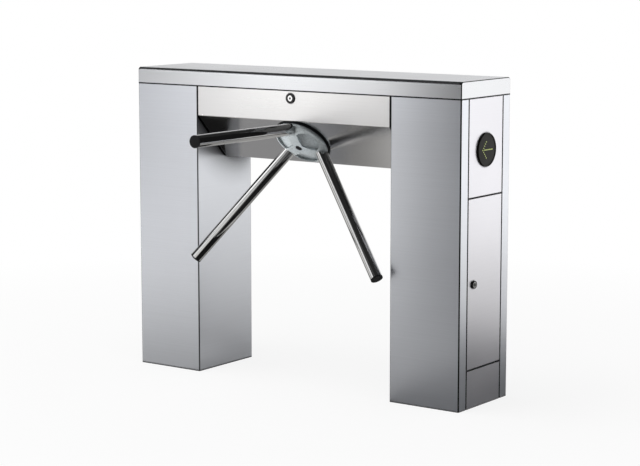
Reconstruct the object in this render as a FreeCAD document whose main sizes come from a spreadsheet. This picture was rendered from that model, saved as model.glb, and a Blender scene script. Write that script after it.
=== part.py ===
import FreeCAD, Part
import math
import os
import re
import Sketcher

# Tripod turnstile, millimetres. Origin on the floor under the middle of the cabinet,
# Z up, X along the cabinet, the arms in front of it at negative Y.
V = FreeCAD.Vector
doc = FreeCAD.newDocument("tripod_turnstile")
sizes = doc.addObject("Spreadsheet::Sheet", "sizes")
size_of = {
    "cab_len": 1232,  # cabinet length
    "cab_depth": 280,  # cabinet depth
    "cab_high": 980,  # cabinet height with the lid
    "ped_wide": 246,  # width of a pedestal
    "skin": 2,  # sheet thickness
    "lid_high": 50,  # height of the lid
    "lid_round": 10,  # rounding of the long lid edges
    "lid_edge": 3,  # rounding round the lid ends
    "reveal": 3,  # dark joint below the lid
    "end_lip": 40,  # lip of a casing on the end face
    "rebate": 12,  # depth of the frame around doors and panels
    "stop_wide": 18,  # width of the door stop
    "edge_gap": 5,  # gap beside doors and panels
    "panel_gap": 4,  # gap between doors and panels
    "plinth_line": 118,  # height of the lower gap
    "door_line": 634,  # height of the upper gap
    "bend": 4,  # outside radius of a sheet bend
    "fascia_high": 92,  # height of the fascia below the lid joint
    "slant_run": 142,  # depth of the slanted face
    "tilt": 45,  # tilt of the slanted face and the rotor axis
    "hub_in": 65,  # rotor axis behind the front, at the slanted face
    "bridge_gap": 4,  # gap between trough and pedestal
    "base_thick": 6,  # base plate thickness
    "anchor_rad": 7,  # anchor hole radius
    "anchor_x": 150,  # anchor spacing along the cabinet
    "anchor_y": 200,  # anchor spacing across the cabinet
    "cable_rad": 30,  # cable entry radius
    "cable_down": 35,  # cable passage into the bridge below the fascia edge
    "cable_back": 40,  # cable passage behind the middle
    "fit": 0.05,  # running fit, per side
    "lamp_rad": 50,  # indicator radius
    "lamp_high": 772,  # indicator height
    "lamp_proud": 6,  # indicator thickness
    "lamp_dot": 1.7,  # radius of a lamp in the arrow
    "lock_proud": 6,  # door lock in front of the door
    "door_pin_in": 6,  # door hinge axis behind the face
    "door_pin_rad": 2,  # door hinge pin radius
    "door_knuckle": 20,  # height of a door knuckle
    "door_lock_y": 63,  # door lock in front of the middle
    "door_lock_z": 375,  # door lock height
    "lid_pin_out": 6,  # lid hinge axis behind the back
    "lid_pin_rad": 2.5,  # lid hinge pin radius
    "lid_knuckle": 30,  # width of a lid knuckle
    "lid_hinge_in": 30,  # outer lid hinges past the inner wall of a pedestal
    "lock_down": 22,  # lid lock below the lid joint
    "lock_rad": 9,  # lock plug radius
    "door_lock_rad": 8,  # door lock plug radius
    "hole_rad": 84,  # rotor opening in the slanted face
    "apex_in": 55,  # meeting point of the arm axes behind the slanted face
    "arm_rad": 19,  # arm tube radius
    "arm_wall": 2,  # arm tube wall
    "arm_start": 62,  # arm root from the meeting point
    "arm_reach": 571,  # arm tip from the meeting point
    "cone": 45,  # angle between arm and rotor axis
    "hub_rad": 88,  # hub radius
    "hub_gap": 5,  # hub in front of the slanted face
    "hub_rim": 9,  # height of the hub rim
    "hub_rise": 32,  # nose of the hub in front of the slanted face
    "crown_round": 104,  # arched crown of the hub
    "rim_round": 2,  # rounding of the hub rim
    "nose_rad": 24,  # flat nose of the hub
    "plug_rad": 11,  # nose plug radius
    "cup_rad": 79,  # hub behind the rim, radius
    "cup_back": 26,  # hub back behind the slanted face
    "facet_tilt": 17.3,  # slope of a hub facet
    "facet_edge": 94.5,  # facet bed, carried on outwards, meets the level of the rim foot at this radius
    "facet_round": 41,  # outer rounding of a facet
    "facet_out": 41,  # middle of that rounding from the rotor axis
    "ridge": 18,  # half width of the hub ridges
    "trim_rad": 91,  # trim ring outer radius
    "trim_thick": 5,  # trim ring thickness
    "pot_rad": 85.5,  # bearing housing cup, inner radius
    "pot_wall": 4,  # bearing housing wall
    "floor_in": 32,  # bearing housing floor behind the slanted face
    "floor_thick": 8,  # bearing housing floor thickness
    "boss_rad": 36,  # bearing boss radius
    "boss_back": 92,  # bearing boss end behind the slanted face
    "flange_half": 88,  # half width of the housing flange
    "stud_at": 76,  # stud position on the flange
    "shaft_rad": 12.5,  # shaft radius
    "race_rad": 26,  # bearing outer radius
    "race_wide": 15,  # bearing width
    "plate_in": 78,  # mechanism plate behind the slanted face
    "plate_thick": 6,  # mechanism plate thickness
    "disc_in": 98,  # locking disc behind the slanted face
    "disc_thick": 10,  # locking disc thickness
    "disc_rad": 58,  # locking disc radius
    "notch_deep": 9,  # notch depth
    "notch_half": 7.5,  # half width of a notch at the rim
    "notches": 12,  # number of notches
    "gear_in": 112,  # drive gear behind the slanted face
    "gear_thick": 12,  # drive gear thickness
    "module_size": 2,  # gear module
    "gear_teeth": 60,  # teeth of the drive gear
    "pinion_teeth": 20,  # teeth of the pinion
    "motor_rad": 28,  # motor radius
    "motor_long": 32,  # motor body length
    "pawl_x": 78,  # pawl pivot beside the rotor axis
    "pawl_y": 45,  # pawl pivot along the disc
    "pawl_pin": 4,  # pawl pin radius
    "plunger_rad": 4,  # plunger radius
}
tied = {
    "fascia_low": "=cab_high - lid_high - reveal - fascia_high",
    "lid_lock_z": "=cab_high - lid_high - reveal - lock_down",
    "lid_hinge_x": "=cab_len / 2 - ped_wide + lid_hinge_in",
}
for row, (name, value) in enumerate([*size_of.items(), *tied.items()], 1):
    sizes.set("A%d" % row, name.replace("_", " "))
    sizes.set("B%d" % row, str(value))
    sizes.setAlias("B%d" % row, name)
doc.recompute()


def ref(expr):
    def named(word):
        found = word.group(0)
        return "sizes." + found if found in size_of or found in tied else found
    return re.sub(r"[A-Za-z_]+", named, str(expr))


def num(expr):
    got = sizes.evalExpression(str(expr))
    return float(getattr(got, "Value", got))


def bind(obj, prop, expr):
    obj.setExpression(prop, ref(expr))


def body(label):
    made = doc.addObject("PartDesign::Body", label)
    made.Label = label
    made.AllowCompound = True
    return made


def plane(owner, role):
    return [f for f in owner.Origin.OriginFeatures if f.Role == role][0]


def sketch(owner, role, lift="0"):
    made = owner.newObject("Sketcher::SketchObject", owner.Name + "_sketch")
    made.AttachmentSupport = [(plane(owner, role), "")]
    made.MapMode = "FlatFace"
    if lift != "0":
        bind(made, "AttachmentOffset.Base.z", lift)
    return made


def pin_point(sk, geo, pos, x, y):
    # holds one point of a sketch at two sheet expressions
    for kind, axis, expr in (("DistanceX", -2, x), ("DistanceY", -1, y)):
        if expr == "0":
            sk.addConstraint(Sketcher.Constraint("PointOnObject", geo, pos, axis))
        else:
            at = sk.addConstraint(Sketcher.Constraint(kind, -1, 1, geo, pos, num(expr)))
            bind(sk, "Constraints[%d]" % at, expr)


def outline(sk, points, bows=None):
    # closed outline; a bow turns the side after that point of a clockwise outline into an outward arc
    bows = bows or {}
    first = sk.GeometryCount
    count = len(points)
    spots = [V(num(x), num(y), 0) for x, y in points]
    heads = []
    for i in range(count):
        a, b = spots[i], spots[(i + 1) % count]
        heads.append((2, 1) if i in bows else (1, 2))
        if i not in bows:
            sk.addGeometry(Part.LineSegment(a, b), False)
            continue
        radius = num(bows[i])
        side = V(b.y - a.y, a.x - b.x, 0).normalize()
        mid = (a + b) * 0.5 + side * math.sqrt(radius ** 2 - (b - a).Length ** 2 / 4)
        turns = [math.atan2(p.y - mid.y, p.x - mid.x) for p in (b, a)]
        geo = sk.addGeometry(Part.ArcOfCircle(Part.Circle(mid, V(0, 0, 1), radius), *turns), False)
        at = sk.addConstraint(Sketcher.Constraint("Radius", geo, radius))
        bind(sk, "Constraints[%d]" % at, bows[i])
    for i in range(count):
        j = (i + 1) % count
        sk.addConstraint(Sketcher.Constraint("Coincident", first + i, heads[i][1], first + j, heads[j][0]))
    for i, (x, y) in enumerate(points):
        pin_point(sk, first + i, heads[i][0], x, y)


def box_points(x0, y0, x1, y1):
    return [(x0, y0), (x1, y0), (x1, y1), (x0, y1)]


def ring(sk, x, y, radius):
    geo = sk.addGeometry(Part.Circle(V(num(x), num(y), 0), V(0, 0, 1), num(radius)), False)
    at = sk.addConstraint(Sketcher.Constraint("Radius", geo, num(radius)))
    bind(sk, "Constraints[%d]" % at, radius)
    pin_point(sk, geo, 3, x, y)


def pad(owner, sk, length, back=False):
    made = owner.newObject("PartDesign::Pad", owner.Name + "_pad")
    made.Profile = sk
    bind(made, "Length", length)
    made.Reversed = back
    sk.Visibility = False
    doc.recompute()
    return made


def pocket(owner, sk, reach):
    # cuts to both sides of its sketch
    made = owner.newObject("PartDesign::Pocket", owner.Name + "_pocket")
    made.Profile = sk
    before = owner.Shape.Volume
    made.SideType = "Symmetric"
    bind(made, "Length", "2 * (%s)" % reach)
    doc.recompute()
    if owner.Shape.Volume > before - 1e-6:
        raise ValueError("pocket removes nothing in " + owner.Label)
    return made


def turn(owner, sk):
    made = owner.newObject("PartDesign::Revolution", owner.Name + "_turn")
    made.Profile = sk
    made.ReferenceAxis = (sk, ["V_Axis"])
    made.Angle = 360
    doc.recompute()
    return made


def rounded(owner, radius, want):
    # rounds the edges of a body that a test picks out
    picked = ["Edge%d" % (i + 1) for i, e in enumerate(owner.Shape.Edges) if want(e)]
    last = owner.Tip
    made = owner.newObject("PartDesign::Fillet", owner.Name + "_round")
    made.Base = (last, picked)
    bind(made, "Radius", radius)
    doc.recompute()
    return made


def along(e, axis):
    d = e.Vertexes[-1].Point - e.Vertexes[0].Point
    return d.Length > 1e-6 and abs(abs(d.dot(axis)) - d.Length) < 1e-6


def prism(label, role, lift, points, length):
    made = body(label)
    sk = sketch(made, role, lift)
    outline(sk, points)
    pad(made, sk, length)
    return made


def tilted(obj):
    # into the rotor frame: local Z runs inward along the rotor axis from the slanted face
    obj.Placement = FreeCAD.Placement(V(0, num(hub_y), num(hub_z)), FreeCAD.Rotation(V(-1, 0, 0), num("tilt")))
    bind(obj, "Placement.Base.y", hub_y)
    bind(obj, "Placement.Base.z", hub_z)
    bind(obj, "Placement.Rotation.Angle", "tilt")


def block(label, x, y, z, dx, dy, dz):
    made = doc.addObject("Part::Box", label)
    for prop, expr in zip(("Length", "Width", "Height"), (dx, dy, dz)):
        bind(made, prop, expr)
    for prop, expr in zip("xyz", (x, y, z)):
        bind(made, "Placement.Base." + prop, expr)
    return made


def rod(label, x, y, z, radius, length, axis="z"):
    made = doc.addObject("Part::Cylinder", label)
    facing = {"z": (V(0, 0, 1), 0), "x": (V(0, 1, 0), 90), "y": (V(-1, 0, 0), 90)}[axis]
    made.Placement = FreeCAD.Placement(V(0, 0, 0), FreeCAD.Rotation(*facing))
    bind(made, "Radius", radius)
    bind(made, "Height", length)
    for prop, expr in zip("xyz", (x, y, z)):
        bind(made, "Placement.Base." + prop, expr)
    return made


def joined(label, pieces):
    made = doc.addObject("Part::MultiFuse", label)
    made.Shapes = pieces
    made.Refine = True
    made.Label = label
    return made


def cut(label, base, tools):
    tool = tools[0] if len(tools) == 1 else joined(label + "_tools", tools)
    made = doc.addObject("Part::Cut", label)
    made.Base = base
    made.Tool = tool
    made.Label = label
    return made


def group(label, pieces):
    made = doc.addObject("Part::Compound", label)
    made.Links = pieces
    made.Label = label
    return made


parts = []


def keep(obj):
    parts.append(obj)
    return obj


hub_y = "hub_in - cab_depth / 2"
hub_z = "fascia_low - hub_in * tan(tilt * 1deg)"
half = "cab_depth / 2"
casing_top = "cab_high - lid_high - reveal"
slant_low = "fascia_low - slant_run * tan(tilt * 1deg)"
slant_back = "slant_run - cab_depth / 2"
end_x = "cab_len / 2"
inner_x = "cab_len / 2 - ped_wide"

# The two pedestals, mirror images of each other
opening = "cab_depth / 2 - end_lip"
face_half = "cab_depth / 2 - end_lip - edge_gap"
stop_x = "cab_len / 2 - rebate"
pin_x = "cab_len / 2 - door_pin_in"
pin_y = "cab_depth / 2 - end_lip - edge_gap - 4"
door_low = "plinth_line + panel_gap / 2"
door_tall = "door_line - plinth_line - panel_gap"
hinge_levels = ("plinth_line + 60", "door_line - 60 - 2 * door_knuckle")
hinge_halves = []
lamp_discs = []
lamp_dots = []
equip = []
for side, sign in (("left", "-1"), ("right", "1")):
    def sx(expr):
        return "%s * (%s)" % (sign, expr)

    # casing: one sheet folded round the pedestal, its lips folded back into a door frame
    profile = [(inner_x, "-(%s)" % half), (end_x, "-(%s)" % half), (end_x, "-(%s)" % opening),
               (stop_x, "-(%s)" % opening), (stop_x, "stop_wide - (%s)" % opening),
               (stop_x + " - skin", "stop_wide - (%s)" % opening),
               (stop_x + " - skin", "-(%s) - skin" % opening),
               (end_x + " - skin", "-(%s) - skin" % opening),
               (end_x + " - skin", "skin - (%s)" % half), (inner_x + " + skin", "skin - (%s)" % half),
               (inner_x + " + skin", half + " - skin"), (end_x + " - skin", half + " - skin"),
               (end_x + " - skin", opening + " + skin"), (stop_x + " - skin", opening + " + skin"),
               (stop_x + " - skin", opening + " - stop_wide"), (stop_x, opening + " - stop_wide"),
               (stop_x, opening), (end_x, opening), (end_x, half), (inner_x, half)]
    casing = prism(side + "_pedestal_casing", "XY_Plane", "0", [(sx(x), y) for x, y in profile], casing_top)
    rounded(casing, "bend", lambda e: along(e, V(0, 0, 1)) and abs(abs(e.Vertexes[0].Y) - num(half)) < 1e-6)
    hole = sketch(casing, "YZ_Plane", sx(inner_x + " - 1"))
    ring(hole, "cable_back", "fascia_low - cable_down", "cable_rad")
    pocket(casing, hole, "skin + 2")
    keep(casing)

    # base plate with four anchor holes and the cable entry
    base = body(side + "_base_plate")
    sk = sketch(base, "XY_Plane")
    ends = sorted([sx(inner_x + " + skin"), sx(stop_x + " - skin")], key=num)
    outline(sk, box_points(ends[0], "skin - (%s)" % half, ends[1], half + " - skin"))
    middle = sx("(%s + skin + %s - skin) / 2" % (inner_x, stop_x))
    for ex in ("-1", "1"):
        for ey in ("-1", "1"):
            ring(sk, "%s + %s * anchor_x / 2" % (middle, ex), ey + " * anchor_y / 2", "anchor_rad")
    ring(sk, middle, "0", "cable_rad")
    pad(base, sk, "base_thick")
    keep(base)

    # fixed panels: shallow trays that stand on the door stops
    tray = [(end_x, "-(%s)" % face_half), (end_x, face_half), (stop_x, face_half),
            (stop_x, face_half + " - skin"), (end_x + " - skin", face_half + " - skin"),
            (end_x + " - skin", "skin - (%s)" % face_half), (stop_x, "skin - (%s)" % face_half),
            (stop_x, "-(%s)" % face_half)]
    tray = [(sx(x), y) for x, y in tray]
    plinth = prism(side + "_plinth_panel", "XY_Plane", "0", tray, "plinth_line - panel_gap / 2")
    keep(plinth)
    panel = prism(side + "_display_panel", "XY_Plane", "door_line + panel_gap / 2", tray,
                  casing_top + " - door_line - panel_gap / 2")
    hole = sketch(panel, "YZ_Plane", sx(end_x + " - skin - 1"))
    ring(hole, "0", "lamp_high", "15")
    pocket(panel, hole, "skin + 2")
    keep(panel)

    # indicator: dished disc with a neck through the panel
    face = rod(side + "_lamp_disc", sx(end_x), "0", "lamp_high", "lamp_rad", "lamp_proud", "x")
    dish = rod(side + "_lamp_dish", sx(end_x + " + lamp_proud - 1.5"), "0", "lamp_high", "lamp_rad - 3", "3",
               "x")
    neck = rod(side + "_lamp_neck", sx(end_x + " - skin - 8"), "0", "lamp_high", "14.5", "skin + 9", "x")
    if sign == "-1":
        bind(face, "Placement.Base.x", "-(%s) - lamp_proud" % end_x)
        bind(dish, "Placement.Base.x", "-(%s) - lamp_proud - 1.5" % end_x)
        bind(neck, "Placement.Base.x", "-(%s) - 1" % end_x)
    lamp_discs.append(cut(side + "_lamp", joined(side + "_lamp_blank", [face, neck]), [dish]))
    spots = [(-26 + 5 * abs(i), 6 * i) for i in range(-4, 5)] + [(-16 + 5.5 * i, 0) for i in range(9)]
    for i, (dy, dz) in enumerate(spots):
        start = end_x + " + lamp_proud - 1.5"
        dot = rod("%s_dot_%d" % (side, i), sx(start) if sign == "1" else "-(%s) - 1.2" % start,
                  str(dy), "lamp_high + %d" % dz, "lamp_dot", "1.2", "x")
        lamp_dots.append(dot)

    # service door: tray with a folded lock edge and two sockets for the lift-off hinges
    wing = [(end_x, "-(%s)" % face_half), (end_x, face_half), (end_x + " - skin", face_half),
            (end_x + " - skin", "skin - (%s)" % face_half), (stop_x + " + 2", "skin - (%s)" % face_half),
            (stop_x + " + 2", "-(%s)" % face_half)]
    door = prism(side + "_service_door", "XY_Plane", door_low, [(sx(x), y) for x, y in wing], door_tall)
    for level in hinge_levels:
        knuckle = sketch(door, "XY_Plane", level + " + door_knuckle + 0.5")
        ends = [sx(pin_x + " - 3.5"), sx(end_x + " - skin")]
        outline(knuckle, box_points(ends[0], pin_y + " - 3.5", ends[1], pin_y + " + 3.5"))
        ring(knuckle, sx(pin_x), pin_y, "door_pin_rad + fit")
        pad(door, knuckle, "door_knuckle")
    hole = sketch(door, "YZ_Plane", sx(end_x + " - skin - 1"))
    ring(hole, "-door_lock_y", "door_lock_z", "10")
    pocket(door, hole, "skin + 2")
    keep(door)
    for i, level in enumerate(hinge_levels):
        low = [stop_x, pin_x + " + 3"]
        leaf = prism("%s_hinge_half_%d" % (side, i), "XY_Plane", level,
                     box_points(sx(low[0]), pin_y + " - 3.5", sx(low[1]), pin_y + " + 2"), "door_knuckle")
        pin = rod("%s_hinge_pin_%d" % (side, i), sx(pin_x), pin_y, level, "door_pin_rad",
                  "2 * door_knuckle - 1")
        hinge_halves.append(joined("%s_hinge_%d" % (side, i), [leaf, pin]))

    # door lock: bezel and barrel stay with the door, plug and cam turn in it
    def lock_rod(name, a, b, radius):
        first = sx(a) if sign == "1" else sx(b)
        return rod(side + name, first, "-door_lock_y", "door_lock_z", radius, "(%s) - (%s)" % (b, a), "x")

    shell = joined(side + "_lock_shell", [
        lock_rod("_lock_bezel", end_x, end_x + " + lock_proud", "11.5"),
        lock_rod("_lock_barrel", stop_x + " - 4", end_x + " + 1", "10")])
    bore = lock_rod("_lock_bore", stop_x + " - 6", end_x + " + lock_proud + 2", "door_lock_rad + fit")
    keep(cut(side + "_door_lock_body", shell, [bore]))
    plug = lock_rod("_lock_core", stop_x + " - 4.5", end_x + " + lock_proud - 0.5", "door_lock_rad")
    cam_x = stop_x + " - 7"
    cam = block(side + "_lock_cam", sx(cam_x) if sign == "1" else sx(cam_x + " + 2.5"), "-door_lock_y - 7",
                "door_lock_z - 7", "2.5", "14", "33")
    slit_x = end_x + (" + lock_proud - 2" if sign == "1" else " + lock_proud + 0.5")
    slit = block(side + "_lock_slit", sx(slit_x), "-door_lock_y - 0.8", "door_lock_z - 4", "2.5", "1.6", "8")
    keep(cut(side + "_door_lock_plug", joined(side + "_lock_turning", [plug, cam]), [slit]))

    # equipment plate on the inner wall, with four standoffs
    wall = inner_x + " + skin"
    sheet_low = "300"
    plate = block(side + "_equip_sheet", sx(wall) if sign == "1" else sx(wall + " + 3"), "-90", sheet_low,
                  "3", "180", "260")
    pegs = []
    for py in ("-70", "70"):
        for pz in ("325", "535"):
            pegs.append(rod("%s_peg_%s_%s" % (side, py.strip("-") + ("a" if py[0] == "-" else "b"), pz),
                            sx(wall + " + 3") if sign == "1" else sx(wall + " + 15"), py, pz, "4", "12", "x"))
    equip.append(joined(side + "_equip_plate", [plate] + pegs))

keep(group("door_hinge_halves", hinge_halves))
keep(group("indicator_discs", lamp_discs))
keep(group("indicator_leds", lamp_dots))
keep(group("equipment_plates", equip))

# control board on the right plate, power supply on the left one
board_x = inner_x + " + skin + 15"
board = block("board_sheet", board_x, "-80", "315", "1.6", "160", "230")
chips = [block("board_relay", board_x + " + 1.6", "-60", "340", "16", "28", "60"),
         block("board_terminals", board_x + " + 1.6", "-70", "505", "12", "140", "14"),
         block("board_processor", board_x + " + 1.6", "10", "400", "3", "34", "34"),
         block("board_heat_sink", board_x + " + 1.6", "20", "340", "22", "40", "30")]
keep(joined("control_board", [board] + chips))
supply_x = "-(%s) - 75" % board_x
supply = block("supply_case", supply_x, "-80", "315", "75", "160", "230")
vents = [block("supply_vent_%d" % i, supply_x + " - 1", "%d" % (-60 + 15 * i), "380", "4", "6", "100")
         for i in range(9)]
keep(cut("power_supply", supply, vents))

# Bridge trough: fascia, slanted face, underside and back folded from one sheet
trough_half = inner_x + " - bridge_gap"
fascia_in = "fascia_low + skin * tan((90 - tilt) * 1deg / 2)"
slant_in = slant_back + " + skin * tan(tilt * 1deg / 2)"
front = "-(%s)" % half
folded = [(front, casing_top), (front, "fascia_low"), (slant_back, slant_low), (half, slant_low),
          (half, casing_top), (half + " - skin", casing_top), (half + " - skin", slant_low + " + skin"),
          (slant_in, slant_low + " + skin"), (front + " + skin", fascia_in), (front + " + skin", casing_top)]
trough = prism("trough_sheet", "YZ_Plane", "-(%s)" % trough_half, folded, "2 * (%s)" % trough_half)
rounded(trough, "bend", lambda e: along(e, V(1, 0, 0)) and min(
    (e.Vertexes[0].Point - V(e.Vertexes[0].X, num(y), num(z))).Length for y, z in folded[1:4]) < 1e-6)
hole = sketch(trough, "XZ_Plane", half)
ring(hole, "0", "lid_lock_z", "lock_rad + 4")
pocket(trough, hole, "skin + 1")
rotor_hole = rod("rotor_hole", "0", "0", "0", "hole_rad", "40")
rotor_hole.Placement = FreeCAD.Placement(V(0, 0, -10), FreeCAD.Rotation())
rotor_hole.setExpression("Placement.Base.z", "-10")
hole_holder = group("rotor_hole_tilted", [rotor_hole])
tilted(hole_holder)
keep(cut("bridge_trough", trough, [hole_holder]))

# end frames: a plate in each gap and a rim that carries the trough from inside
rim = "3"
plate_path = [(front + " + skin", casing_top), (front + " + skin", fascia_in), (slant_in, slant_low + " + skin"),
              (half + " - skin", slant_low + " + skin"), (half + " - skin", casing_top)]
rim_path = plate_path + [(half + " - skin - " + rim, casing_top),
                         (half + " - skin - " + rim, slant_low + " + skin + " + rim),
                         (slant_in + " + %s * tan(tilt * 1deg / 2)" % rim, slant_low + " + skin + " + rim),
                         (front + " + skin + " + rim, fascia_in + " + %s * tan((90 - tilt) * 1deg / 2)" % rim),
                         (front + " + skin + " + rim, casing_top)]
for side, sign in (("left", "-1"), ("right", "1")):
    start = inner_x + " - bridge_gap" if sign == "1" else "-(%s)" % inner_x
    frame = prism(side + "_bridge_end_frame", "YZ_Plane", start, plate_path, "bridge_gap")
    lip_x = inner_x + " - bridge_gap - 22" if sign == "1" else "bridge_gap - (%s)" % inner_x
    lip = sketch(frame, "YZ_Plane", lip_x)
    outline(lip, rim_path)
    pad(frame, lip, "22")
    hole = sketch(frame, "YZ_Plane", start)
    ring(hole, "cable_back", "fascia_low - cable_down", "cable_rad")
    pocket(frame, hole, "bridge_gap")
    keep(frame)

# seal on the top edges, set back a little so that the joint stays dark
seal = body("lid_seal")
sk = sketch(seal, "XY_Plane", casing_top)
outline(sk, box_points("0.7 - (%s)" % end_x, "0.7 - (%s)" % half, end_x + " - 0.7", half + " - 0.7"))
outline(sk, box_points("6 - (%s)" % end_x, "6 - (%s)" % half, end_x + " - 6", half + " - 6"))
pad(seal, sk, "reveal - 0.3")
keep(seal)

# lid: rounded along its length, hollow from below
lid_low = "cab_high - lid_high"
lid = prism("lid", "YZ_Plane", "-(%s)" % end_x, box_points(front, lid_low, half, "cab_high"), "cab_len")
rounded(lid, "lid_round", lambda e: along(e, V(1, 0, 0)) and e.Vertexes[0].Z > num("cab_high") - 1e-6)
rounded(lid, "lid_edge", lambda e: e.BoundBox.ZMax > num(lid_low) + 1e-6 and min(
    abs(v.X) for v in e.Vertexes) > num(end_x) - 1e-6)
solid_lid = lid.Tip
hollow = lid.newObject("PartDesign::Thickness", "lid_hollow")
under = ["Face%d" % (i + 1) for i, f in enumerate(solid_lid.Shape.Faces)
         if f.BoundBox.ZMax < num(lid_low) + 1e-6]
hollow.Base = (solid_lid, under)
bind(hollow, "Value", "skin")
hollow.Reversed = True
hollow.Mode = "Skin"
hollow.Join = "Arc"
lid.Tip = hollow
doc.recompute()
keep(lid)

# lift-off lid hinges: halves with pins on the cabinet, straps on the lid
axis_y = half + " + lid_pin_out"
axis_z = casing_top + " + reveal / 2"
fixed_halves = []
straps = []
for i, at in enumerate(("-lid_hinge_x", "0", "lid_hinge_x")):
    leaf = block("lid_leaf_%d" % i, at + " - lid_knuckle", half, casing_top + " - 34", "lid_knuckle", "3", "34")
    web = block("lid_web_%d" % i, at + " - lid_knuckle", half, casing_top + " - 4", "lid_knuckle",
                "lid_pin_out", "4")
    eye = rod("lid_eye_%d" % i, at + " - lid_knuckle", axis_y, axis_z, "lid_pin_rad + 2.5", "lid_knuckle", "x")
    pin = rod("lid_pin_%d" % i, at + " - lid_knuckle", axis_y, axis_z, "lid_pin_rad", "2 * lid_knuckle", "x")
    fixed_halves.append(joined("lid_half_%d" % i, [leaf, web, eye, pin]))
    strap = block("lid_strap_%d" % i, at + " + 0.5", half, lid_low + " + 1", "lid_knuckle - 0.5", "3", "36")
    arm = block("lid_strap_arm_%d" % i, at + " + 0.5", half, lid_low + " + 1", "lid_knuckle - 0.5",
                "lid_pin_out", "3.5")
    loop = rod("lid_loop_%d" % i, at + " + 0.5", axis_y, axis_z, "lid_pin_rad + 2.5", "lid_knuckle - 0.5", "x")
    bore = rod("lid_bore_%d" % i, at + " - 1", axis_y, axis_z, "lid_pin_rad + fit", "lid_knuckle + 3", "x")
    straps.append(cut("lid_strap_piece_%d" % i, joined("lid_strap_blank_%d" % i, [strap, arm, loop]), [bore]))
keep(group("lid_hinge_halves", fixed_halves))
keep(group("lid_hinge_straps", straps))

# lid lock in the fascia: body, turning plug with cam, catch under the lid
lock_bezel = rod("lid_lock_bezel", "0", front + " - 4", "lid_lock_z", "15.5", "4", "y")
lock_barrel = rod("lid_lock_barrel", "0", front + " - 1", "lid_lock_z", "lock_rad + 4", "26", "y")
lock_nut = rod("lid_lock_nut", "0", front + " + skin", "lid_lock_z", "18", "5", "y")
lock_bore = rod("lid_lock_bore", "0", front + " - 6", "lid_lock_z", "lock_rad + fit", "40", "y")
keep(cut("lid_lock_body", joined("lid_lock_shell", [lock_bezel, lock_barrel, lock_nut]), [lock_bore]))
core = rod("lid_lock_core", "0", front + " - 3", "lid_lock_z", "lock_rad", "30", "y")
cam = block("lid_lock_cam", "-9", front + " + 26", "lid_lock_z - 9", "18", "3", "39")
slit = block("lid_lock_slit", "-1", front + " - 4", "lid_lock_z - 5", "2", "3", "10")
keep(cut("lid_lock_plug", joined("lid_lock_turning", [core, cam]), [slit]))
hook_y = front + " + 22"
leg = block("catch_leg", "34", hook_y, "lid_lock_z - 21", "3", "14", "cab_high - skin - lid_lock_z + 21")
hook = block("catch_hook", "18", hook_y, "lid_lock_z - 21", "19", "14", "4")
foot = block("catch_foot", "34", hook_y, "cab_high - skin - 3", "26", "14", "3")
keep(joined("lid_catch", [leg, hook, foot]))

# Rotor and mechanism, all in the rotor frame
def turned(label, profile):
    made = body(label)
    sk = sketch(made, "XZ_Plane")
    outline(sk, profile)
    turn(made, sk)
    return made


# collar that stands on the slanted face, the hub turns above it
trim = turned("rotor_bezel_ring", [("hole_rad", "0"), ("trim_rad", "0"), ("trim_rad", "-trim_thick"),
                                   ("trim_rad - 1", "-trim_thick"), ("hole_rad", "-1")])
tilted(trim)
keep(trim)

# hub: turned body, three arm sockets, three recessed facets between the arms
rim_z = "-hub_gap - hub_rim"
nose_z = "-hub_rise"
hub = body("hub_body")
sk = sketch(hub, "XZ_Plane")
outline(sk, [("shaft_rad", "cup_back"), ("cup_rad", "cup_back"), ("cup_rad", "-hub_gap"),
             ("hub_rad", "-hub_gap"), ("hub_rad", rim_z + " + rim_round"), ("hub_rad - rim_round", rim_z),
             ("nose_rad", nose_z), ("plug_rad", nose_z), ("plug_rad", "8 - hub_rise"),
             ("shaft_rad", "8 - hub_rise")], {4: "rim_round", 5: "crown_round"})
turn(hub, sk)
sockets = []
cap_pieces = []
arm_turn = {"front": -90, "left": 150, "right": 30}


def on_arm(obj, start, angle):
    # along an arm: tipped from the rotor axis, then turned round it
    lean = FreeCAD.Rotation(V(0, 1, 0), 180 - num("cone"))
    spin = FreeCAD.Rotation(V(0, 0, 1), angle)
    way = spin.multiply(lean)
    root = V(0, 0, num("apex_in"))
    obj.Placement = FreeCAD.Placement(root + way.multVec(V(0, 0, num(start))), way)
    bind(obj, "Placement.Base.x", "(%s) * sin(cone * 1deg) * %.9f" % (start, math.cos(math.radians(angle))))
    bind(obj, "Placement.Base.y", "(%s) * sin(cone * 1deg) * %.9f" % (start, math.sin(math.radians(angle))))
    bind(obj, "Placement.Base.z", "apex_in - (%s) * cos(cone * 1deg)" % start)
    return obj


def arm_rod(label, start, radius, length, angle):
    made = doc.addObject("Part::Cylinder", label)
    bind(made, "Radius", radius)
    bind(made, "Height", length)
    return on_arm(made, start, angle)


for name, angle in arm_turn.items():
    sockets.append(arm_rod("socket_" + name, "arm_start", "arm_rad", "120", angle))
    tube = arm_rod("tube_" + name, "arm_start", "arm_rad", "arm_reach - 4 - arm_start", angle)
    inside = arm_rod("tube_inside_" + name, "arm_start + 30", "arm_rad - arm_wall", "arm_reach", angle)
    arm = cut(name + "_arm", tube, [inside])
    tilted(arm)
    keep(arm)
    head = arm_rod("cap_head_" + name, "arm_reach - 4", "arm_rad", "4", angle)
    stem = arm_rod("cap_stem_" + name, "arm_reach - 24", "arm_rad - arm_wall", "22", angle)
    cap_pieces.append(joined("cap_" + name, [head, stem]))

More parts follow.
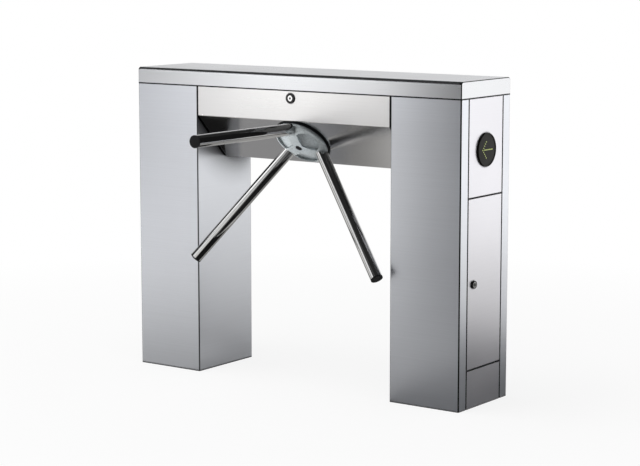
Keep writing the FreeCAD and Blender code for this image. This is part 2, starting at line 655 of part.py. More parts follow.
# facets: flat beds a little below the crown, held between the ridges to the arms
facet_tools = []
for i, angle in enumerate((-30, 90, 210)):
    wedge = body("facet_wedge_%d" % i)
    sk = sketch(wedge, "XY_Plane", "-60")
    apex = "ridge / sin(60deg)"
    outline(sk, [(apex, "0"), (apex + " + hub_rad * cos(60deg)", "-hub_rad * sin(60deg)"),
                 ("2 * hub_rad", "-hub_rad * sin(60deg)"), ("2 * hub_rad", "hub_rad * sin(60deg)"),
                 (apex + " + hub_rad * cos(60deg)", "hub_rad * sin(60deg)")])
    pad(wedge, sk, "80")
    rounded(wedge, "6", lambda e: along(e, V(0, 0, 1)) and abs(e.Vertexes[0].Y) < 1e-6)
    bed = doc.addObject("Part::Box", "facet_bed_%d" % i)
    bind(bed, "Length", "200")
    bind(bed, "Width", "200")
    bind(bed, "Height", "60")
    lean = FreeCAD.Rotation(V(0, 1, 0), -num("facet_tilt"))
    at = V(num("facet_edge"), 0, num("-hub_gap"))
    bed.Placement = FreeCAD.Placement(at + lean.multVec(V(-100, -100, -60)), lean)
    drum = rod("facet_drum_%d" % i, "facet_out", "0", "-60", "facet_round", "80")
    shape = doc.addObject("Part::MultiCommon", "facet_%d" % i)
    shape.Shapes = [wedge, bed, drum]
    shape.Placement = FreeCAD.Placement(V(0, 0, 0), FreeCAD.Rotation(V(0, 0, 1), angle))
    facet_tools.append(shape)
tripod = cut("tripod_hub", hub, sockets + facet_tools)
tilted(tripod)
keep(tripod)
caps = group("arm_end_caps", cap_pieces)
tilted(caps)
keep(caps)
plug = turned("hub_nose_plug", [("0", "1 - hub_rise"), ("plug_rad", "1 - hub_rise"),
                                ("plug_rad", "8 - hub_rise"), ("0", "8 - hub_rise")])
tilted(plug)
keep(plug)

# shaft: spigot in the hub, collar, bearing seats, seats of disc and gear, threaded end
collar = "cup_back"
shaft_end = "gear_in + gear_thick + 24"
shaft = turned("rotor_shaft", [("0", "8 - hub_rise"), ("shaft_rad", "8 - hub_rise"), ("shaft_rad", collar),
                               ("24", collar), ("24", "floor_in - 1.5"), ("shaft_rad + 3", "floor_in - 1.5"),
                               ("shaft_rad + 3", "floor_in"), ("shaft_rad", "floor_in"),
                               ("shaft_rad", "gear_in + gear_thick"), ("shaft_rad - 2.5", "gear_in + gear_thick"),
                               ("shaft_rad - 2.5", shaft_end), ("0", shaft_end)])
tilted(shaft)
keep(shaft)

# bearing housing: cup round the hub, floor, long boss with two bearing seats, square flange, ribs
floor_back = "floor_in + floor_thick"
housing = body("bearing_housing")
sk = sketch(housing, "XZ_Plane")
outline(sk, [("race_rad", "floor_in"), ("pot_rad", "floor_in"), ("pot_rad", "skin"),
             ("pot_rad + pot_wall", "skin"), ("pot_rad + pot_wall", floor_back), ("boss_rad", floor_back),
             ("boss_rad", "boss_back"), ("race_rad", "boss_back"), ("race_rad", "boss_back - race_wide"),
             ("race_rad - 4", "boss_back - race_wide"), ("race_rad - 4", "floor_in + race_wide"),
             ("race_rad", "floor_in + race_wide")])
turn(housing, sk)
sk = sketch(housing, "XY_Plane", "skin")
outline(sk, box_points("-flange_half", "-flange_half", "flange_half", "flange_half"))
ring(sk, "0", "0", "pot_rad + 1")
pad(housing, sk, "6")
hole = sketch(housing, "XY_Plane", "skin")
for ex in ("-1", "1"):
    for ey in ("-1", "1"):
        ring(hole, ex + " * stud_at", ey + " * stud_at", "4.5")
pocket(housing, hole, "8")
rib = sketch(housing, "YZ_Plane", "-3")
outline(rib, [("boss_rad - 2", floor_back + " - 2"), ("pot_rad - 6", floor_back + " - 2"),
              ("pot_rad - 6", floor_back), ("boss_rad - 2", "plate_in - 6")])
web = pad(housing, rib, "6")
fan = housing.newObject("PartDesign::PolarPattern", "housing_ribs")
fan.Originals = [web]
fan.Axis = (hole, ["N_Axis"])
fan.Angle = 360
fan.Occurrences = 6
housing.Tip = fan
doc.recompute()
tilted(housing)
keep(housing)

# studs with nuts on the sheet
studs = []
for ex in ("-1", "1"):
    for ey in ("-1", "1"):
        tag = (ex + ey).replace("-", "n")
        pin = rod("stud_" + tag, ex + " * stud_at", ey + " * stud_at", "skin", "4", "16")
        nut = rod("stud_nut_" + tag, ex + " * stud_at", ey + " * stud_at", "skin + 6", "7.5", "6.5")
        studs.append(joined("stud_set_" + tag, [pin, nut]))
stud_set = group("mechanism_studs", studs)
tilted(stud_set)
keep(stud_set)

# ball bearings: outer rings sit in the housing, inner rings turn with the shaft
outer = []
inner = []
for i, start in enumerate(("floor_in", "boss_back - race_wide")):
    big = rod("race_outer_%d" % i, "0", "0", start, "race_rad", "race_wide")
    gap = rod("race_outer_gap_%d" % i, "0", "0", start + " - 1", "race_rad - 4", "race_wide + 2")
    outer.append(cut("race_outer_ring_%d" % i, big, [gap]))
    small = rod("race_inner_%d" % i, "0", "0", start, "race_rad - 4 - 0.5", "race_wide")
    bore = rod("race_inner_bore_%d" % i, "0", "0", start + " - 1", "shaft_rad", "race_wide + 2")
    inner.append(cut("race_inner_ring_%d" % i, small, [bore]))
for label, rings in (("bearing_outer_rings", outer), ("bearing_inner_rings", inner)):
    races = group(label, rings)
    tilted(races)
    keep(races)

# mechanism plate round the boss, on four pillars
plate = body("mechanism_plate")
sk = sketch(plate, "XY_Plane", "plate_in")
outline(sk, [("-168", "-80"), ("112", "-80"), ("112", "60"), ("80", "80"), ("80", "168"),
             ("-20", "168"), ("-60", "128"), ("-120", "80"), ("-168", "40")])
ring(sk, "0", "0", "boss_rad")
ring(sk, "module_size * (gear_teeth + pinion_teeth) / 2", "0", "11")
pad(plate, sk, "plate_thick")
tilted(plate)
keep(plate)
pillars = [rod("pillar_%d" % i, x, y, floor_back, "6", "plate_in - floor_in - floor_thick")
           for i, (x, y) in enumerate((("-38", "-66"), ("38", "-66"), ("38", "66"), ("-38", "66")))]
pillar_set = group("plate_pillars", pillars)
tilted(pillar_set)
keep(pillar_set)

# locking disc with notches every thirty degrees
disc = body("locking_disc")
sk = sketch(disc, "XY_Plane", "disc_in")
ring(sk, "0", "0", "disc_rad")
ring(sk, "0", "0", "shaft_rad")
pad(disc, sk, "disc_thick")
sk = sketch(disc, "XY_Plane", "disc_in")
outline(sk, [("-disc_rad - 2", "-notch_half"), ("notch_deep - disc_rad", "1.5 - notch_half"),
             ("notch_deep - disc_rad", "notch_half - 1.5"), ("-disc_rad - 2", "notch_half")])
notch = pocket(disc, sk, "disc_thick + 1")
sk = sketch(disc, "XY_Plane", "boss_back + 0.8")
ring(sk, "0", "0", "shaft_rad + 7")
ring(sk, "0", "0", "shaft_rad")
pad(disc, sk, "disc_in - boss_back - 0.8")
crown = disc.newObject("PartDesign::PolarPattern", "disc_notches")
crown.Originals = [notch]
crown.Axis = (sk, ["N_Axis"])
crown.Angle = 360
bind(crown, "Occurrences", "notches")
disc.Tip = crown
doc.recompute()
tilted(disc)
keep(disc)


def gear_wire(teeth, turn_by):
    # involute tooth outline, thinned a little for backlash
    size = num("module_size")
    pitch = size * teeth / 2.0
    base = pitch * math.cos(math.radians(20))
    tip = pitch + size - 0.05
    root = pitch - 1.25 * size
    roll = math.tan(math.radians(20)) - math.radians(20)
    half_tooth = math.pi / 2 / teeth - 0.05 / pitch
    edges = []
    step = 2 * math.pi / teeth

    def spot(radius, angle):
        return V(radius * math.cos(angle + turn_by), radius * math.sin(angle + turn_by), 0)

    def flank(radius):
        way = math.acos(min(1.0, base / radius))
        return half_tooth + roll - (math.tan(way) - way)

    low = max(base, root)
    radii = [low + (tip - low) * i / 4.0 for i in range(5)]
    for k in range(teeth):
        mid = k * step
        left = [spot(r, mid - flank(r)) for r in radii]
        right = [spot(r, mid + flank(r)) for r in reversed(radii)]
        start = spot(root, mid - flank(low))
        stop = spot(root, mid + flank(low))
        after = spot(root, mid + step - flank(low))
        if root < base - 1e-6:
            edges.append(Part.LineSegment(start, left[0]).toShape())
        else:
            start = left[0]
            stop = right[-1]
        rise = Part.BSplineCurve()
        rise.interpolate(left)
        edges.append(rise.toShape())
        edges.append(Part.Arc(left[-1], spot(tip, mid), right[0]).toShape())
        fall = Part.BSplineCurve()
        fall.interpolate(right)
        edges.append(fall.toShape())
        if root < base - 1e-6:
            edges.append(Part.LineSegment(right[-1], stop).toShape())
        else:
            after = spot(low, mid + step - flank(low))
        edges.append(Part.Arc(stop, spot(root if root < base - 1e-6 else low, mid + step / 2), after).toShape())
    return Part.Wire(edges)


def gear(label, teeth, turn_by, low, thick):
    made = doc.addObject("Part::Feature", label)
    made.Shape = Part.Face(gear_wire(teeth, turn_by)).extrude(V(0, 0, num(thick)))
    bind(made, "Placement.Base.z", low)
    return made


# drive gear with spokes between rim and hub, pinion on the motor shaft
wheel_blank = gear("drive_gear_blank", int(num("gear_teeth")), 0.0, "gear_in", "gear_thick")
wheel_bore = rod("drive_gear_bore", "0", "0", "disc_in", "shaft_rad", "60")
windows = []
for i in range(5):
    at = math.radians(72 * i + 36)
    windows.append(rod("gear_window_%d" % i, "36 * %.6f" % math.cos(at), "36 * %.6f" % math.sin(at), "disc_in",
                       "12", "60"))
sleeve = rod("gear_sleeve", "0", "0", "disc_in + disc_thick", "shaft_rad + 5", "gear_in - disc_in - disc_thick")
wheel = cut("drive_gear", joined("drive_gear_whole", [wheel_blank, sleeve]), [wheel_bore] + windows)
tilted(wheel)
keep(wheel)
gap_turn = math.pi + math.pi / num("pinion_teeth")
distance = "module_size * (gear_teeth + pinion_teeth) / 2"
small = gear("pinion_blank", int(num("pinion_teeth")), gap_turn, "gear_in - 1", "gear_thick + 2")
bind(small, "Placement.Base.x", distance)
stub = rod("motor_stub", distance, "0", "plate_in + plate_thick - 20", "5",
           "gear_in + gear_thick - plate_in + 16")
pinion = joined("motor_pinion", [small, stub])
tilted(pinion)
keep(pinion)
can = rod("motor_can", distance, "0", "plate_in - motor_long", "motor_rad", "motor_long")
rings_cut = [rod("motor_bore", distance, "0", "plate_in - 16", "5 + fit", "40")]
pilot = rod("motor_pilot", distance, "0", "plate_in", "11", "plate_thick")
motor = cut("drive_motor", joined("motor_whole", [can, pilot]), rings_cut)
tilted(motor)
keep(motor)

# shaft nut, encoder disc with slots, sensor fork on its post
nut_z = "gear_in + gear_thick"
nut = body("shaft_nut")
sk = sketch(nut, "XY_Plane", nut_z)
outline(sk, [("17 * cos(%d * 1deg)" % a, "17 * sin(%d * 1deg)" % a) for a in (30, 90, 150, 210, 270, 330)])
ring(sk, "0", "0", "shaft_rad - 2.5")
pad(nut, sk, "10")
tilted(nut)
keep(nut)
code = body("encoder_disc")
sk = sketch(code, "XY_Plane", nut_z + " + 10")
ring(sk, "0", "0", "16")
ring(sk, "0", "0", "shaft_rad - 2.5")
pad(code, sk, "4")
sk = sketch(code, "XY_Plane", nut_z + " + 14")
ring(sk, "0", "0", "36")
ring(sk, "0", "0", "shaft_rad - 2.5")
pad(code, sk, "2")
sk = sketch(code, "XY_Plane", nut_z + " + 15")
outline(sk, box_points("27", "-2", "34", "2"))
slot = pocket(code, sk, "2")
dial = code.newObject("PartDesign::PolarPattern", "encoder_slots")
dial.Originals = [slot]
dial.Axis = (sk, ["N_Axis"])
dial.Angle = 360
dial.Occurrences = 12
code.Tip = dial
doc.recompute()
tilted(code)
keep(code)
plate_top = "plate_in + plate_thick"
post = block("sensor_post", "-8", "-76", plate_top, "16", "4", nut_z + " + 24 - (%s)" % plate_top)
jaw = block("sensor_jaw", "-8", "-76", nut_z + " + 8", "16", "48", "16")
slot = block("sensor_slot", "-10", "-44", nut_z + " + 12.5", "20", "60", "5")
clear = block("sensor_clear", "-10", "-38", nut_z + " + 6", "20", "30", "6.5")
sensor = cut("position_sensor", joined("sensor_whole", [post, jaw]), [slot, clear])
tilted(sensor)
keep(sensor)

# two pawls with pins, solenoids and plungers; the second set is the first turned a quarter round the rotor
pins = []
for name, angle in (("left", 0), ("rear", -90)):
    spin = FreeCAD.Rotation(V(0, 0, 1), angle)

    def placed(obj):
        # the pieces of a set are drawn at the left of the disc and then turned into place
        whole = FreeCAD.Rotation(V(-1, 0, 0), num("tilt")).multiply(spin)
        obj.Placement = FreeCAD.Placement(V(0, num(hub_y), num(hub_z)), whole)
        bind(obj, "Placement.Base.y", hub_y)
        bind(obj, "Placement.Base.z", hub_z)
        return obj

    pawl = body(name + "_pawl")
    sk = sketch(pawl, "XY_Plane", "disc_in")
    outline(sk, [("-pawl_x - 8", "pawl_y - 8"), ("-pawl_x - 8", "-10"), ("-disc_rad - 10", "-10"),
                 ("-disc_rad - 2", "-6.2"), ("-disc_rad - 2", "-0.8"), ("-disc_rad - 10", "4"),
                 ("-pawl_x + 6", "14"), ("-pawl_x + 8", "pawl_y + 8"), ("-pawl_x - 8", "pawl_y + 8")])
    ring(sk, "-pawl_x", "pawl_y", "pawl_pin + fit")
    pad(pawl, sk, "disc_thick")
    keep(placed(pawl))
    pin = rod(name + "_pawl_pin", "-pawl_x", "pawl_y", plate_top, "pawl_pin",
              "disc_in + disc_thick + 4 - (%s)" % plate_top)
    seat = rod(name + "_pawl_seat", "-pawl_x", "pawl_y", plate_top, "7", "disc_in - 0.5 - (%s)" % plate_top)
    both = joined(name + "_pawl_pivot", [pin, seat])
    both.Placement = FreeCAD.Placement(V(0, 0, 0), spin)
    pins.append(both)
    mid = "disc_in + disc_thick / 2"
    coil = block(name + "_coil_case", "-pawl_x - 76", "-18", plate_top, "44", "30",
                 "(%s + 14) - (%s)" % (mid, plate_top))
    well = rod(name + "_coil_bore", "-pawl_x - 66", "-3", mid, "plunger_rad + fit", "60", "x")
    magnet = cut(name + "_solenoid", coil, [well])
    keep(placed(magnet))
    core = rod(name + "_core_rod", "-pawl_x - 58", "-3", mid, "plunger_rad", "49.4", "x")
    flange = rod(name + "_core_head", "-pawl_x - 11", "-3", mid, "plunger_rad + 3", "2.4", "x")
    keep(placed(joined(name + "_plunger", [core, flange])))
pivots = group("pawl_pivot_pins", pins)
tilted(pivots)
keep(pivots)

# every piece is checked, then written
doc.recompute()
for obj in doc.Objects:
    if "Invalid" in obj.State or "Error" in obj.State:
        raise ValueError("%s is not built: %s" % (obj.Label, obj.State))
os.makedirs("parts", exist_ok=True)
for obj in parts:
    if obj.Shape.isNull() or not obj.Shape.isValid() or not obj.Shape.Solids:
        raise ValueError(obj.Label + " has no valid shape")
    obj.Shape.exportStep("parts/%s.step" % obj.Label)
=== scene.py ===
# %% [markdown]
# # Tripod turnstile
# A turnstile is a steel cabinet on two legs with three bright arms that turn on a slanted axis.
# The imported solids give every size, so this lesson loads them, gives each one its finish, adds the small
# fasteners that repeat, and then sets up the studio.

# %% Load the frame
import math
import bmesh
import bpy
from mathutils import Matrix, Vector


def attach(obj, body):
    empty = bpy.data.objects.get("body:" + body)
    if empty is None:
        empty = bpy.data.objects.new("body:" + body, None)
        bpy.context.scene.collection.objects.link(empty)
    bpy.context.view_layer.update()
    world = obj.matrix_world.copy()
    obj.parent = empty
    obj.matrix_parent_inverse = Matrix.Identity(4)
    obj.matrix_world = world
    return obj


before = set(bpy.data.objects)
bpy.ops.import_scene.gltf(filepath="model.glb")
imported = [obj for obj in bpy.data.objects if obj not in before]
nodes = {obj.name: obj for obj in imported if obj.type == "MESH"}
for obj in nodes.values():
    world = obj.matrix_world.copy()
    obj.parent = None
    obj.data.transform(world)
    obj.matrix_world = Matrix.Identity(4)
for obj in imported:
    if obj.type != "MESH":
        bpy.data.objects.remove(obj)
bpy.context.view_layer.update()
for name in ("Cube", "Light", "Camera"):
    if name in bpy.data.objects:
        bpy.data.objects.remove(bpy.data.objects[name])
scene = bpy.context.scene
scene.view_settings.view_transform = "Standard"

# %% [markdown]
# ## Small tools for finishes
# Every finish below is a short chain of nodes: a place on the object, a pattern, and a shader.
# A few helpers keep those chains readable. The place is always the object's own coordinates, in metres,
# so a pattern stays on its piece when the piece moves. The pattern is a noise, stretched or squeezed to suit.

# %% A new finish, its pattern, and putting it on nodes
def new_finish(name, colour, metal=0.0, rough=0.5):
    mat = bpy.data.materials.new(name)
    mat.use_nodes = True
    shader = mat.node_tree.nodes["Principled BSDF"]
    shader.inputs["Base Color"].default_value = (*colour, 1)
    shader.inputs["Metallic"].default_value = metal
    shader.inputs["Roughness"].default_value = rough
    return mat, mat.node_tree, shader


def pattern(tree, scale, detail, stretch=(1, 1, 1)):
    place = tree.nodes.new("ShaderNodeTexCoord")
    mapping = tree.nodes.new("ShaderNodeMapping")
    mapping.inputs["Scale"].default_value = stretch
    noise = tree.nodes.new("ShaderNodeTexNoise")
    noise.inputs["Scale"].default_value = scale
    noise.inputs["Detail"].default_value = detail
    tree.links.new(place.outputs["Object"], mapping.inputs["Vector"])
    tree.links.new(mapping.outputs["Vector"], noise.inputs["Vector"])
    return noise.outputs["Fac"]


def dress(mat, *names):
    for name in names:
        slots = nodes[name].data.materials
        slots.clear()
        slots.append(mat)


print("finish tools ready")

# %% Tools that turn a pattern into gloss, colour and relief
def spread(tree, value, low, high, start=0.3, stop=0.7):
    ranged = tree.nodes.new("ShaderNodeMapRange")
    for socket, number in zip(("From Min", "From Max", "To Min", "To Max"), (start, stop, low, high)):
        ranged.inputs[socket].default_value = number
    tree.links.new(value, ranged.inputs["Value"])
    return ranged.outputs["Result"]


def tint(tree, value, dark, light, start=0.3, stop=0.7):
    ramp = tree.nodes.new("ShaderNodeValToRGB")
    for step, place, colour in zip(ramp.color_ramp.elements, (start, stop), (dark, light)):
        step.position = place
        step.color = (*colour, 1)
    tree.links.new(value, ramp.inputs["Fac"])
    return ramp.outputs["Color"]


def relief(tree, value, shader, strength, depth):
    bump = tree.nodes.new("ShaderNodeBump")
    bump.inputs["Strength"].default_value = strength
    bump.inputs["Distance"].default_value = depth
    tree.links.new(value, bump.inputs["Height"])
    tree.links.new(bump.outputs["Normal"], shader.inputs["Normal"])


print("pattern tools ready")

# %% [markdown]
# ## Painted shade in joints and along edges
# Doors, panels and lid meet the casing in narrow joints, which show as black lines because little light gets in.
# An ambient occlusion node measures how closed in a spot is. Below a limit the colour goes down to almost black
# as painted shade, and open faces keep theirs. Along every edge the colour is painted dark as well, as painted
# shade,
# and a bevel node finds the edges: close to an edge its softened normal leaves the true one.

# %% Painted shade in joints and along edges
# How far the painted shade along edges goes down, and over which agreement of the normals it runs.
painted_edge_dark = 0.04
edge_limits = (0.92, 0.995)


def multiplied(tree, first, second):
    mixed = tree.nodes.new("ShaderNodeMix")
    mixed.data_type = "RGBA"
    mixed.blend_type = "MULTIPLY"
    mixed.inputs["Factor"].default_value = 1.0
    tree.links.new(first, mixed.inputs["A"])
    tree.links.new(second, mixed.inputs["B"])
    return mixed.outputs["Result"]


def closed_in(tree, reach):
    node = tree.nodes.new("ShaderNodeAmbientOcclusion")
    node.samples = 8
    node.inputs["Distance"].default_value = reach
    return node.outputs["AO"]


# Painted shade: the colour goes down to almost black where the ambient occlusion node finds a spot closed in.
def with_painted_joint_shade(tree, colour, reach, start=0.60, stop=0.86, dark=0.02):
    shade = tint(tree, closed_in(tree, reach), (dark, dark, dark), (1, 1, 1), start, stop)
    return multiplied(tree, colour, shade)


# Painted shade: the colour goes dark along every edge that the bevel node finds.
def with_painted_edge_shade(tree, colour, radius):
    soft = tree.nodes.new("ShaderNodeBevel")
    soft.samples = 6
    soft.inputs["Radius"].default_value = radius
    true = tree.nodes.new("ShaderNodeNewGeometry")
    same = tree.nodes.new("ShaderNodeVectorMath")
    same.operation = "DOT_PRODUCT"
    tree.links.new(soft.outputs["Normal"], same.inputs[0])
    tree.links.new(true.outputs["Normal"], same.inputs[1])
    return multiplied(tree, colour, spread(tree, same.outputs["Value"], painted_edge_dark, 1.0, *edge_limits))


print("edges go down to", painted_edge_dark, "of the colour")

# %% [markdown]
# ## Painted dark bends, and painted shade in the corner under the bridge
# A bend in sheet mirrors a wide piece of the room in a narrow strip, so it shows as a line, mostly a dark one.
# The finish paints that line into the colour as a painted reflection. It finds a bend by the normal: on a level
# or upright face one part of it is 1, on a bend or slant none is. The bends at the cabinet's two ends are the
# sharpest and are painted darkest. Each leg's inner wall gets painted shade where the bridge closes it in, and
# only there, so the shade is kept to that wall and to heights near the bridge.

# %% Tools that measure a spot
def sum_up(tree, kind, first, second):
    node = tree.nodes.new("ShaderNodeMath")
    node.operation = kind
    for socket, value in zip(node.inputs, (first, second)):
        if isinstance(value, (int, float)):
            socket.default_value = value
        else:
            tree.links.new(value, socket)
    return node.outputs[0]


def parts_of(tree, kind):
    place = tree.nodes.new("ShaderNodeTexCoord")
    parts = tree.nodes.new("ShaderNodeSeparateXYZ")
    tree.links.new(place.outputs[kind], parts.inputs["Vector"])
    return parts.outputs["X"], parts.outputs["Y"], parts.outputs["Z"]


print("measuring tools ready")

# %% Where the sheet is bent, closed in, or faces down
bend_limits = (0.95, 0.998)
ends_from = 0.608
inner_wall = 0.3708
bridge_from = 0.55
# Painted shade in each leg's corner under the bridge goes down to this level.
painted_corner_dark = 0.05
corner_limits = (0.50, 0.96)
down_limit = -0.5


def bend_masks(tree, smooth_from):
    across = [sum_up(tree, "ABSOLUTE", part, 0.0) for part in parts_of(tree, "Normal")]
    most = sum_up(tree, "MAXIMUM", sum_up(tree, "MAXIMUM", across[0], across[1]), across[2])
    bent = spread(tree, most, 1.0, 0.0, *bend_limits)
    along = sum_up(tree, "ABSOLUTE", parts_of(tree, "Object")[0], 0.0)
    smoothed = sum_up(tree, "MULTIPLY", bent, sum_up(tree, "GREATER_THAN", along, smooth_from))
    at_ends = sum_up(tree, "MULTIPLY", bent, sum_up(tree, "GREATER_THAN", along, ends_from))
    return bent, smoothed, at_ends


# Painted shade: each leg's inner wall goes dark where the bridge closes it in, near the bridge's height.
def with_painted_corner_shade(tree, colour, reach):
    shade = spread(tree, closed_in(tree, reach), painted_corner_dark, 1.0, *corner_limits)
    x, _, z = parts_of(tree, "Object")
    outer = sum_up(tree, "GREATER_THAN", sum_up(tree, "ABSOLUTE", x, 0.0), inner_wall)
    elsewhere = sum_up(tree, "MAXIMUM", sum_up(tree, "LESS_THAN", z, bridge_from), outer)
    return multiplied(tree, colour, sum_up(tree, "MAXIMUM", shade, elsewhere))


def faces_down(tree):
    return sum_up(tree, "LESS_THAN", parts_of(tree, "Normal")[2], down_limit)


print("bends beyond", ends_from, "m are the end bends")

# %% [markdown]
# ## Brushed stainless sheet
# The cabinet is stainless sheet, ground with a belt, so fine level lines run along each panel.
# A noise that is squeezed in one direction gives such lines. They show faintly in the colour, the gloss and a
# very shallow relief. A second, large and soft noise varies the gloss, as wiping and hands do. Bends are painted
# darker, as a painted reflection, and the outer ones, which the belt reaches well, are smoother. The colour also
# gets painted shade along edges, in joints and in each leg's corner under the bridge. A little of the shader is
# not metal, because worn and dusty sheet scatters some light, but the underside of the bridge stays clean and is
# metal alone.

# %% The recipe for brushed sheet
sheet_metal, clean_metal = 0.90, 1.0
grain_tints = (0.965, 1.03)
grain_gloss, wiped_gloss = 0.03, 0.02
joint_reach = 0.010
# Painted reflection: the bends at the two ends are painted down to this level.
painted_end_bend_level = 0.2


def brushed(name, colour, lines, rough, smooth, smooth_from=0.0, bend_shade=0.0, edge=0.0020, corner=0.0,
            clean_below=False):
    mat, tree, shader = new_finish(name, colour, sheet_metal, rough)
    if clean_below:
        metal = spread(tree, faces_down(tree), sheet_metal, clean_metal, 0.0, 1.0)
        tree.links.new(metal, shader.inputs["Metallic"])
    grain = pattern(tree, scale=1.0, detail=5.0, stretch=lines)
    cloud = pattern(tree, scale=3.0, detail=2.0)
    low, high = [tuple(min(c * part, 1) for c in colour) for part in grain_tints]
    steel = tint(tree, grain, low, high, start=0.25, stop=0.75)
    bent, smoothed, at_ends = bend_masks(tree, smooth_from)
    # Painted reflection: bends are painted darker, the bends at the two ends darkest.
    steel = multiplied(tree, steel, spread(tree, bent, 1.0, 1.0 - bend_shade, 0.0, 1.0))
    steel = multiplied(tree, steel, spread(tree, at_ends, 1.0, painted_end_bend_level, 0.0, 1.0))
    # Painted shade along the edges.
    steel = with_painted_edge_shade(tree, steel, edge)
    # Painted shade in each leg's corner under the bridge.
    if corner:
        steel = with_painted_corner_shade(tree, steel, corner)
    # Painted shade in the joints.
    tree.links.new(with_painted_joint_shade(tree, steel, joint_reach), shader.inputs["Base Color"])
    wiped = spread(tree, cloud, rough - wiped_gloss, rough + wiped_gloss)
    gloss = sum_up(tree, "ADD", spread(tree, grain, -grain_gloss, grain_gloss), wiped)
    drop = sum_up(tree, "MULTIPLY", smoothed, rough - smooth)
    tree.links.new(sum_up(tree, "SUBTRACT", gloss, drop), shader.inputs["Roughness"])
    relief(tree, grain, shader, strength=0.04, depth=0.0002)
    return mat


print("sheet is", sheet_metal, "metal, dark in joints of", joint_reach, "m")

# %% Sheet on casings, panels, lid and bridge
level_lines = (3, 3, 900)
long_lines = (3, 700, 700)
casing_sheet = brushed("brushed_casing", (0.715, 0.735, 0.785), level_lines, rough=0.33, smooth=0.07,
                       smooth_from=0.5, bend_shade=0.8, edge=0.0024, corner=0.11)
panel_sheet = brushed("brushed_panel", (0.735, 0.732, 0.775), level_lines, rough=0.33, smooth=0.07,
                      smooth_from=0.5, bend_shade=0.8, edge=0.0028)
lid_sheet = brushed("brushed_lid", (0.695, 0.705, 0.73), long_lines, rough=0.30, smooth=0.12, bend_shade=0.6)
trough_sheet = brushed("brushed_trough", (0.765, 0.76, 0.765), long_lines, rough=0.30, smooth=0.17,
                       clean_below=True)
for side in ("left", "right"):
    dress(casing_sheet, side + "_pedestal_casing")
    dress(panel_sheet, side + "_plinth_panel", side + "_display_panel", side + "_service_door")
dress(lid_sheet, "lid")
dress(trough_sheet, "bridge_trough")
print("brushed steel on", sum(1 for o in nodes.values() if "brushed" in o.data.materials[0].name), "nodes")

# %% [markdown]
# ## Polished metal
# The arms are drawn tube, polished bright. They mirror the room, so the finish is a smooth metal with faint
# marks from polishing, and the light and dark bands come from what stands around them. The lock cylinders are
# chromed, and the shafts and gears inside are ground, which is the same recipe with a rougher surface.

# %% Polished tube, chrome and ground steel
def polished(name, colour, rough, metal=1.0):
    mat, tree, shader = new_finish(name, colour, metal, rough)
    marks = pattern(tree, scale=6.0, detail=4.0, stretch=(40, 40, 40))
    duller = tuple(c * 0.95 for c in colour)
    tree.links.new(spread(tree, marks, low=rough * 0.6, high=rough * 1.5), shader.inputs["Roughness"])
    tree.links.new(tint(tree, marks, duller, colour), shader.inputs["Base Color"])
    return mat


bright_tube = polished("polished_tube", (0.60, 0.60, 0.60), rough=0.06)
dress(bright_tube, "front_arm", "left_arm", "right_arm")
chrome = polished("lock_chrome", (0.72, 0.72, 0.73), rough=0.12)
dress(chrome, "left_door_lock_plug", "right_door_lock_plug", "lid_lock_plug")
ground = polished("ground_steel", (0.62, 0.62, 0.62), rough=0.26, metal=0.7)
dress(ground, "rotor_shaft", "bearing_outer_rings", "bearing_inner_rings", "locking_disc", "drive_gear",
      "motor_pinion", "shaft_nut", "left_pawl", "rear_pawl", "pawl_pivot_pins", "left_plunger", "rear_plunger",
      "door_hinge_halves", "lid_hinge_halves", "lid_hinge_straps")
print("polished finishes", bright_tube.name, chrome.name, ground.name)

# %% [markdown]
# ## Moulded plastic, rubber and enamel
# Caps, collar, indicator and lock rings are black mouldings with a fine spark grain. A fast noise gives that
# grain as relief, a slow one varies colour and gloss. Rubber is the same with less gloss, enamel with a coarser
# flow, so one recipe and one table serve them all.

# %% The recipe for mouldings
def moulded(name, dark, light, rough, grain, shine):
    mat, tree, shader = new_finish(name, light, 0.0, rough)
    skin = pattern(tree, scale=grain, detail=2.0)
    cloud = pattern(tree, scale=12.0, detail=3.0)
    tree.links.new(tint(tree, cloud, dark, light), shader.inputs["Base Color"])
    tree.links.new(spread(tree, cloud, low=rough - 0.06, high=rough + 0.08), shader.inputs["Roughness"])
    shader.inputs["Specular IOR Level"].default_value = shine
    relief(tree, skin, shader, strength=0.25, depth=0.00015)
    return mat


print("moulding recipe ready")

# %% Moulded pieces
# name, dark colour, light colour, roughness, grain, shine, nodes
mouldings = [
    ("black_moulded", (0.006, 0.006, 0.007), (0.013, 0.013, 0.015), 0.40, 900.0, 0.12,
     ("arm_end_caps", "hub_nose_plug", "rotor_bezel_ring")),
    ("lamp_face_black", (0.007, 0.007, 0.005), (0.014, 0.013, 0.010), 0.42, 700.0, 0.16, ("indicator_discs",)),
    ("seal_rubber", (0.004, 0.004, 0.004), (0.010, 0.010, 0.010), 0.7, 900.0, 0.2, ("lid_seal",)),
    ("lock_ring_black", (0.008, 0.008, 0.009), (0.016, 0.016, 0.017), 0.3, 900.0, 0.3,
     ("lid_lock_body", "left_door_lock_body", "right_door_lock_body")),
    ("dark_enamel", (0.016, 0.018, 0.021), (0.030, 0.033, 0.038), 0.35, 300.0, 0.5,
     ("drive_motor", "left_solenoid", "rear_solenoid", "position_sensor")),
    ("frame_black", (0.006, 0.006, 0.007), (0.012, 0.012, 0.013), 0.5, 300.0, 0.2,
     ("left_bridge_end_frame", "right_bridge_end_frame")),
    ("board_green", (0.010, 0.060, 0.030), (0.016, 0.095, 0.045), 0.4, 200.0, 0.5, ("control_board",)),
    ("code_disc", (0.30, 0.32, 0.34), (0.40, 0.42, 0.44), 0.2, 900.0, 0.5, ("encoder_disc",))]
for *recipe, wearers in mouldings:
    dress(moulded(*recipe), *wearers)
print("moulded finishes", [row[0] for row in mouldings])

